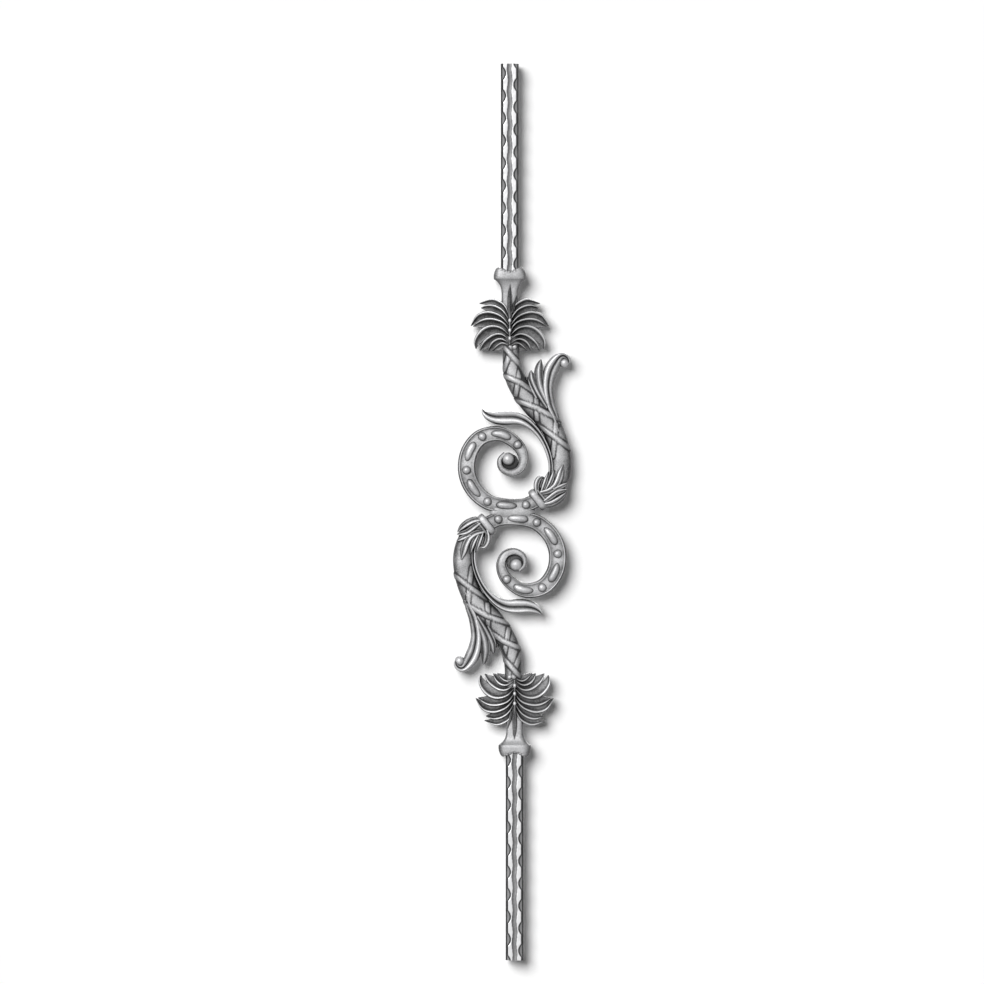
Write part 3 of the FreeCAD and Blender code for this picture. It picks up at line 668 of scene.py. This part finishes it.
# Eye: the ball of iron that the scroll winds in to, cast over a floor that closes the
# middle of the scroll. The floor is painted dark, a painted shadow in the gap round the ball.

EYE = Vector((-4.5, 59))
SHADOW_FLOOR = Vector((-2.5, 55.5))
SHADOW_FLOOR_RADIUS = 9.5
SHADOW_FLOOR_DEPTH = 9
SHADOW_FLOOR_DARKNESS = 0.1
SHADOW_FLOOR_STEPS = 13
floor_line = []
for step in range(SHADOW_FLOOR_STEPS):
    turn = math.pi * (step + 0.5) / SHADOW_FLOOR_STEPS
    chord = 2 * SHADOW_FLOOR_RADIUS * math.sin(turn)
    x = SHADOW_FLOOR.x - SHADOW_FLOOR_RADIUS * math.cos(turn)
    floor_line.append((x, SHADOW_FLOOR.y, chord, SHADOW_FLOOR_DEPTH, SHADOW_FLOOR_DARKNESS))
FLAT_FLOOR = both_sides([(-1, 0.5, 0.3), (-0.9, 0.9, 0.3), (-0.5, 1, 0.3), (0, 1, 0.3)])
floor_section = section("flat floor", FLAT_FLOOR)
half.from_mesh(swept("hollow behind the eye", [floor_line], floor_section, slices=20))
ball(EYE.x, EYE.y, radius=7.5, reach=11.4, wear=0.85)

# Binding: a thick ring of grey iron, cast in one with the rest, round the place where trunk and scroll
# meet. A thin lip stands on the side that the husk springs from.

TIE_CENTRE = Vector((28.5, 13.9))
TIE_RUN = Vector((-5, -4)).normalized()
TIE_LENGTH = 27
TIE_PROFILE = [
    (-4.4, 7), (-4.2, 4), (-3.5, 1.6), (-2, 0.3), (0, 0), (2, 0.3), (3.5, 1.6), (4.2, 4), (4.4, 7),
]
LIP_PROFILE = [(-7.6, 5), (-7.3, 3), (-6.4, 1.8), (-5.4, 2.6), (-4.8, 5)]
PAINTED_SHADE_DEPTH = 7.5
tie_section = section("binding section", rounded(32, 4, edge_shade=0.2, crest_wear_and_light=0.7, fade=2))


def ring_line(profile):
    """Stations of a ring from (along, how far below the crest), with painted shade darkening it as it falls
    away.
    """
    line = []
    for along, less in profile:
        place = TIE_CENTRE + TIE_RUN * along
        line.append((place.x, place.y, TIE_LENGTH - less, TIE_LENGTH - less, 1 - less / PAINTED_SHADE_DEPTH))
    return line


half.from_mesh(swept("binding", [ring_line(TIE_PROFILE)], tie_section, slices=15))
half.from_mesh(swept("binding lip", [ring_line(LIP_PROFILE)], tie_section, slices=9))

# Husk: pointed leaves of the casting that spring out of the binding and lie along the foot of the
# trunk, each round on its left side and falling away to a shallow crease on its right.

TIP = 0.8
# Painted light and shade: each leaf is painted bright on its rounded left side, where light falls, and dark
# at its edges and in its crease
CREASED = [
    (-1, 0.35, 0.03), (-0.96, 0.62, 0.03), (-0.88, 0.8, 0.1), (-0.75, 0.92, 0.6), (-0.58, 0.99, 0.95),
    (-0.4, 1, 0.9), (-0.2, 0.98, 0.65), (0, 0.93, 0.42), (0.12, 0.89, 0.15), (0.2, 0.87, 0.05),
    (0.28, 0.88, 0.15), (0.45, 0.9, 0.34), (0.62, 0.89, 0.34), (0.76, 0.83, 0.15), (0.88, 0.72, 0.03),
    (0.96, 0.55, 0.03), (1, 0.35, 0.03),
]
HUSK = [
    [(29, 20, 5, 25), (27.5, 27, 7, 26.5), (28.5, 34, 7.5, 26.5), (32, 38.5, 5.5, 25), (36.5, 38, TIP, 22)],
    [(33, 22, 4, 26), (36, 30, 6.5, 27.5), (38.5, 37.5, 5.5, 26.5), (40.5, 45, TIP, 22)],
    [(38, 24.5, 4, 26), (42.5, 32, 6.5, 28), (45.5, 40, 5.5, 27), (46.8, 47, TIP, 23)],
    [(46, 25, 4, 26.5), (53, 27.5, 6.5, 27), (58, 30, 5.5, 26), (62, 32.5, TIP, 22)],
    [(33, 8, 5, 24), (42, 8.8, 8, 25.5), (50, 12.5, 8.5, 25), (56.5, 17.5, 6.5, 23), (61, 22.5, TIP, 19)],
    [(36, 11.5, 5, 26), (43, 16.5, 7.5, 28), (50, 21.5, 7.5, 28), (56, 23.5, 6, 26), (61.5, 25, TIP, 22)],
    [(31, 21, 6, 27), (40, 23, 8, 28.5), (47.5, 28, 9, 29), (52, 36, 9.5, 29), (54.5, 44.5, 8.5, 28),
     (57, 53, TIP, 25)],
]
half.from_mesh(swept("husk", HUSK, section("creased leaf", CREASED), slices=17))

# Tongue leaf: a two-lobed leaf of the casting that climbs the inside of the trunk, turns away over the
# scroll and ends in an upturned tip.

# Painted light and shade: the crests of both lobes are painted bright, and the groove between them and the
# edges dark
LOBED = [
    (-1, 0.12, 0.1), (-0.97, 0.42, 0.15), (-0.88, 0.72, 0.45), (-0.74, 0.92, 0.85), (-0.55, 1, 0.95),
    (-0.36, 1, 0.85), (-0.18, 0.95, 0.65), (-0.04, 0.86, 0.45), (0.05, 0.74, 0.2), (0.12, 0.66, 0.03),
    (0.19, 0.7, 0.1), (0.3, 0.82, 0.4), (0.46, 0.93, 0.65), (0.62, 0.99, 0.9), (0.76, 1, 1),
    (0.88, 0.85, 0.75), (0.96, 0.5, 0.3), (1, 0.12, 0.1),
]
TONGUE = [
    (41.5, 33, 4.5, 18), (43, 46, 5, 19), (42.3, 58, 5.5, 19), (38.5, 71, 6, 19), (31.5, 84.5, 7, 19),
    (22.5, 95, 9, 18.5), (13, 101.8, 12, 18), (3.5, 104.8, 14.8, 17), (-7.5, 105, 16.2, 16.5),
    (-17.5, 105.2, 14.2, 15.5), (-26, 107.5, 10.6, 14), (-31, 111, 6.2, 12), (-33.5, 114.5, TIP, 9),
]
half.from_mesh(swept("tongue leaf", [TONGUE], section("lobed leaf", LOBED), slices=60))

# Curl leaf and blades: leaves of the casting that fan out from the outside of the trunk. The longest
# has a round rib beside a flat web and rolls over a ball; the blades beside it are ridged.

# Painted light and shade: the edges and the dip beside the rib are painted dark as in shade, and the rib is
# worn and painted bright
RIBBED = [
    (-1, 0.12, 0.1), (-0.97, 0.42, 0.2), (-0.88, 0.72, 0.6), (-0.72, 0.92, 0.95), (-0.52, 1, 1),
    (-0.3, 0.97, 0.9), (-0.12, 0.86, 0.6), (0, 0.68, 0.25), (0.07, 0.6, 0.05), (0.15, 0.64, 0.2),
    (0.3, 0.72, 0.42), (0.5, 0.74, 0.5), (0.68, 0.68, 0.4), (0.76, 0.64, 0.15), (0.86, 0.62, 0.4),
    (0.95, 0.44, 0.3), (1, 0.12, 0.1),
]
CURL = [
    (53, 90, 5, 20), (48.5, 105, 8.5, 20), (42.8, 120, 11, 20), (39.9, 138, 12.4, 20),
    (41.4, 151.5, 14.8, 20), (44.2, 160, 16, 20), (48.2, 167.2, 14.2, 19.5), (52.2, 172.4, 10.4, 19),
    (56, 174.6, 8.2, 18.5), (60, 173.6, 6.6, 17.5), (62.7, 170.2, 5.2, 16), (63.2, 166.5, 3, 13),
]
half.from_mesh(swept("curl leaf", [CURL], section("ribbed leaf", RIBBED), slices=56))
ball(58.4, 166.4, radius=5.6, reach=7.6, wear=0.8)
BLADES = [
    [(48, 104, 5, 20), (39, 122, 9.4, 20), (31.3, 141, 11.6, 19), (29.6, 156, 10.6, 17),
     (30.8, 165, 7, 14), (32.4, 170.4, TIP, 10)],
    [(39, 116, 6, 20), (28.5, 133, 8.5, 19), (22.7, 146, 8.8, 17), (21.2, 154, 6, 14.5),
     (21.3, 158.2, TIP, 11)],
    [(27, 127, 6, 20), (21, 139, 6.5, 18), (17, 151, TIP, 12)],
]
# Painted light and shade: the outer edges and the hollows beside the edge beads are painted dark, and the
# middle ridge is worn and painted lighter
RIDGED = both_sides([
    (-1, 0.2, 0.08), (-0.97, 0.5, 0.15), (-0.9, 0.68, 0.4), (-0.82, 0.72, 0.45), (-0.74, 0.7, 0.25),
    (-0.66, 0.68, 0.1), (-0.52, 0.76, 0.3), (-0.34, 0.88, 0.5), (-0.15, 0.98, 0.66), (0, 1, 0.72),
])
half.from_mesh(swept("blades", BLADES, section("ridged leaf", RIDGED), slices=26))

# Palm: pairs of arching fronds of the casting that shingle down a short midrib. Each is a gutter, painted
# dark as in shade, under a ridge with a painted highlight, and a spear with a groove stands up the neck
# from the middle of them.

GUTTER = [
    (-1, 0.3, 0.05), (-0.97, 0.5, 0.25), (-0.9, 0.57, 0.42), (-0.8, 0.55, 0.32), (-0.5, 0.53, 0.24),
    (-0.1, 0.54, 0.16), (0.2, 0.6, 0.08), (0.4, 0.73, 0.04), (0.5, 0.86, 0.4), (0.6, 0.97, 0.9),
    (0.72, 1, 1), (0.83, 0.99, 1), (0.9, 0.9, 0.5), (0.96, 0.7, 0.1), (1, 0.3, 0.05),
]
# Courses of the ridges on one side, from the neck down: reach from the midrib, level
FRONDS = [
    [(1, 220), (5, 229.5), (11.5, 235), (21, 237.5), (33.7, 233)],
    [(1, 214.5), (6.5, 223.5), (14.5, 229.3), (24, 231), (32, 228)],
    [(1, 208.5), (8, 217.3), (17.5, 222.3), (27, 223.3), (37, 219), (43.5, 208)],
    [(1, 203), (6.6, 210.8), (16, 215), (25.5, 215.7), (34, 213), (41, 207.5)],
    [(1, 197.5), (8, 204.5), (17.5, 207.7), (27, 206), (35, 199.4), (39.6, 190), (38, 182)],
    [(1, 192.5), (8, 198), (16, 198.6), (24, 194.6), (30.6, 188), (33.5, 180.5)],
    [(1.2, 188.5), (8.5, 193), (16, 192), (21.8, 186.6), (24, 180.2)],
    [(2, 186), (8, 188.7), (14.5, 185.7), (19.5, 180.2)],
]
FROND_WIDTHS = {
    4: (3, 6.5, 6.5, TIP), 5: (3, 7.5, 10, 8.5, TIP), 6: (3, 8, 11, 11.5, 9, TIP),
    7: (3, 8, 11.5, 13, 12, 8, TIP),
}
RIDGE_PLACE = 0.39
ROOT_DEPTH = 21.5
DEPTH_STEP = 0.85
TIP_DEPTH = 11
END_HIGHLIGHT = 0.65


def frond_line(course, rank, sign):
    """Stations of a frond whose ridge follows a course of (reach, level)."""
    points = [Vector(point) for point in course]
    line = []
    for step, (point, width) in enumerate(zip(points, FROND_WIDTHS[len(course)])):
        share = step / (len(course) - 1)
        run = (points[min(step + 1, len(points) - 1)] - points[max(step - 1, 0)]).normalized()
        centre = point - Vector((-run.y, run.x)) * RIDGE_PLACE * width
        depth = (ROOT_DEPTH + DEPTH_STEP * rank) * (1 - share) + TIP_DEPTH * share
        # Painted highlight: the ridge is painted brightest in the middle of the frond and duller towards
        # both ends
        polish = END_HIGHLIGHT + (1 - END_HIGHLIGHT) * math.sin(math.pi * share)
        line.append((AXIS + sign * centre.x, centre.y, width, depth, polish))
    return line


# Painted shade: the core between the fronds is painted dark, as the gaps between them lie in shade
CORE = [
    (-1, 184, 14, 12, 0.15), (AXIS, 198, 12, 11, 0.15), (AXIS, 218, 12, 11, 0.15),
    (AXIS, 238, 16, 14, 0.15),
]
half.from_mesh(swept("palm core", [CORE], tie_section, slices=10))
for sign, mirrored in ((-1, False), (1, True)):
    fronds = [frond_line(course, rank, sign) for rank, course in enumerate(FRONDS)]
    half.from_mesh(swept("fronds", fronds, section("gutter", GUTTER, mirrored), slices=18))
SPEAR_FRONT = [
    (-1, 0.4, 0.03), (-0.85, 0.78, 0.06), (-0.5, 0.94, 0.08), (-0.2, 1, 0.25), (-0.05, 0.98, 0.12),
    (0.1, 0.92, 0.03), (0.35, 0.86, 0.03), (0.6, 0.84, 0.12), (0.82, 0.8, 0.4), (0.93, 0.7, 0.3),
    (1, 0.4, 0.05),
]
SPEARS = [
    [(AXIS, 216, 4.5, 24), (AXIS, 230, 6.2, 24.5), (AXIS, 243, 5.4, 24), (AXIS + 0.6, 254, TIP, 21)],
    [(AXIS + 3, 222, 3, 23), (AXIS + 4.8, 231, 4, 23), (AXIS + 8, 241, TIP, 20)],
]
half.from_mesh(swept("spears", SPEARS, section("grooved spear", SPEAR_FRONT), slices=24))
MIDRIB = [(AXIS, 226, 1.6, 22.5, 0.45), (AXIS, 206, 2, 25.5, 0.45), (AXIS, 187, 2.4, 28, 0.45)]
half.from_mesh(swept("midrib", [MIDRIB], tie_section, slices=8))
for level, reach in ((213.5, 13.4), (202.5, 14.1), (193.5, 14.8)):
    ball(AXIS, level, radius=1.9, reach=reach, wear=1, squash=1.3)
ball(2.6, 184, radius=2.8, reach=12, wear=0.9)

# Whole casting: one double-sided pour of grey iron, so its lower half is the upper one after half a
# turn about the middle. A low web joins the two rings where they lie side by side.

UPRIGHT = Matrix.Translation((0, 0, HEIGHT / 2)) @ MILLIMETRES
WEB = [
    (-25, -0.5, 7, 11), (-22.6, -0.5, 10, 14.8), (-19, -0.4, 12.4, 17.2), (-14, -0.3, 13.2, 18.1),
    (-7, -0.15, 13.5, 18.3), (7, 0.15, 13.5, 18.3), (14, 0.3, 13.2, 18.1), (19, 0.4, 12.4, 17.2),
    (22.6, 0.5, 10, 14.8), (25, 0.5, 7, 11),
]
# Painted shade: the web's edges are painted darker than its face
WEB_FRONT = both_sides([
    (-1, 0.3, 0.2), (-0.98, 0.84, 0.5), (-0.9, 0.885, 0.58), (-0.6, 0.95, 0.6), (-0.3, 0.99, 0.6),
    (0, 1, 0.6),
])
web_section = section("web section", WEB_FRONT)
for name, place, web in (("upper_half", UPRIGHT, True), ("lower_half", HALF_TURN @ UPRIGHT, False)):
    part = half.copy()
    if web:
        part.from_mesh(swept("web", [WEB], web_section, slices=46))
    bmesh.ops.recalc_face_normals(part, faces=part.faces)
    mesh = bpy.data.meshes.new(name)
    part.to_mesh(mesh)
    part.free()
    mesh.materials.append(cast_iron)
    mesh.transform(place)
    smoothed(mesh, angle=55)
    casting = bpy.data.objects.new(f"casting_{name}", mesh)
    bpy.context.scene.collection.objects.link(casting)
    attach(casting, "root")
    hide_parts("scroll_casting")
half.free()
# Sections and courses are only guides, so they go once the casting is made
guides = [item for item in bpy.data.objects if item.type == "MESH" and len(item.data.polygons) == 0]
for holder in guides:
    bpy.data.objects.remove(holder)

# Studio: a white backdrop close behind the baluster, seen only from the front, and an even sky. Soft
# lamps shine on the front from its upper left and on the back from above, and a long lens looks
# straight on.

BACKDROP_GAP = 0.001
WALL_SIDE = 3
WALL_FOOT = -2.5
WALL_HEAD = 3.5
wall_y = cad_bounds[1][1] + BACKDROP_GAP
wall_corners = [
    (-WALL_SIDE, wall_y, WALL_FOOT), (WALL_SIDE, wall_y, WALL_FOOT), (WALL_SIDE, wall_y, WALL_HEAD),
    (-WALL_SIDE, wall_y, WALL_HEAD),
]
wall_mesh = bpy.data.meshes.new("backdrop")
wall_mesh.from_pydata(wall_corners, [], [(0, 1, 2, 3)])
wall = bpy.data.objects.new("backdrop", wall_mesh)
bpy.context.scene.collection.objects.link(wall)
white_wall = bpy.data.materials.new("white_wall")
white_wall.use_nodes = True
tree = white_wall.node_tree
paint = tree.nodes["Principled BSDF"]
paint.inputs["Base Color"].default_value = (1, 1, 1, 1)
paint.inputs["Roughness"].default_value = 1
paint.inputs["Specular IOR Level"].default_value = 0
clear = put(tree, "ShaderNodeBsdfTransparent").outputs[0]
in_front = maths(tree, "SUBTRACT", 1, put(tree, "ShaderNodeNewGeometry").outputs["Backfacing"])
shown = maths(tree, "MULTIPLY", put(tree, "ShaderNodeLightPath").outputs["Is Camera Ray"], in_front)
one_sided = put(tree, "ShaderNodeMixShader", shown, clear, paint.outputs[0]).outputs[0]
tree.links.new(one_sided, tree.nodes["Material Output"].inputs["Surface"])
wall_mesh.materials.append(white_wall)

scene = bpy.context.scene
scene.view_settings.view_transform = "Standard"
world = bpy.data.worlds.new("even_sky")
scene.world = world
world.use_nodes = True
tree = world.node_tree
tree.nodes.clear()
rays = put(tree, "ShaderNodeLightPath").outputs
seen = maths(tree, "MAXIMUM", rays["Is Camera Ray"], rays["Is Transmission Ray"])
seen = maths(tree, "MAXIMUM", seen, rays["Is Glossy Ray"])
SKY = 0.12
sky = put(tree, "ShaderNodeBackground", (1, 1, 1, 1), SKY).outputs[0]
white = put(tree, "ShaderNodeBackground", (1, 1, 1, 1), 1.0).outputs[0]
mixed = put(tree, "ShaderNodeMixShader", seen, sky, white).outputs[0]
put(tree, "ShaderNodeOutputWorld", mixed)

SUNS = (("front_sun", Vector((0.42, 1, -0.42)), 3.25), ("back_sun", Vector((-0.15, -1, -0.58)), 3.0))
SUN_SPREAD = 34
for name, run, strength in SUNS:
    lamp_data = bpy.data.lights.new(name, "SUN")
    lamp_data.angle = math.radians(SUN_SPREAD)
    lamp_data.energy = strength
    lamp = bpy.data.objects.new(name, lamp_data)
    lamp.rotation_euler = run.to_track_quat("-Z", "Y").to_euler()
    scene.collection.objects.link(lamp)

LONG_LENS = 262.2
FAR_ENOUGH = 30
CAMERA_PLACE = (-0.0225, -8, 0.5223)
camera_data = bpy.data.cameras.new("front_camera")
camera_data.lens = LONG_LENS
camera_data.clip_end = FAR_ENOUGH
camera = bpy.data.objects.new("front_camera", camera_data)
camera.location = CAMERA_PLACE
camera.rotation_euler = (math.radians(90), 0, 0)
scene.collection.objects.link(camera)
scene.camera = camera
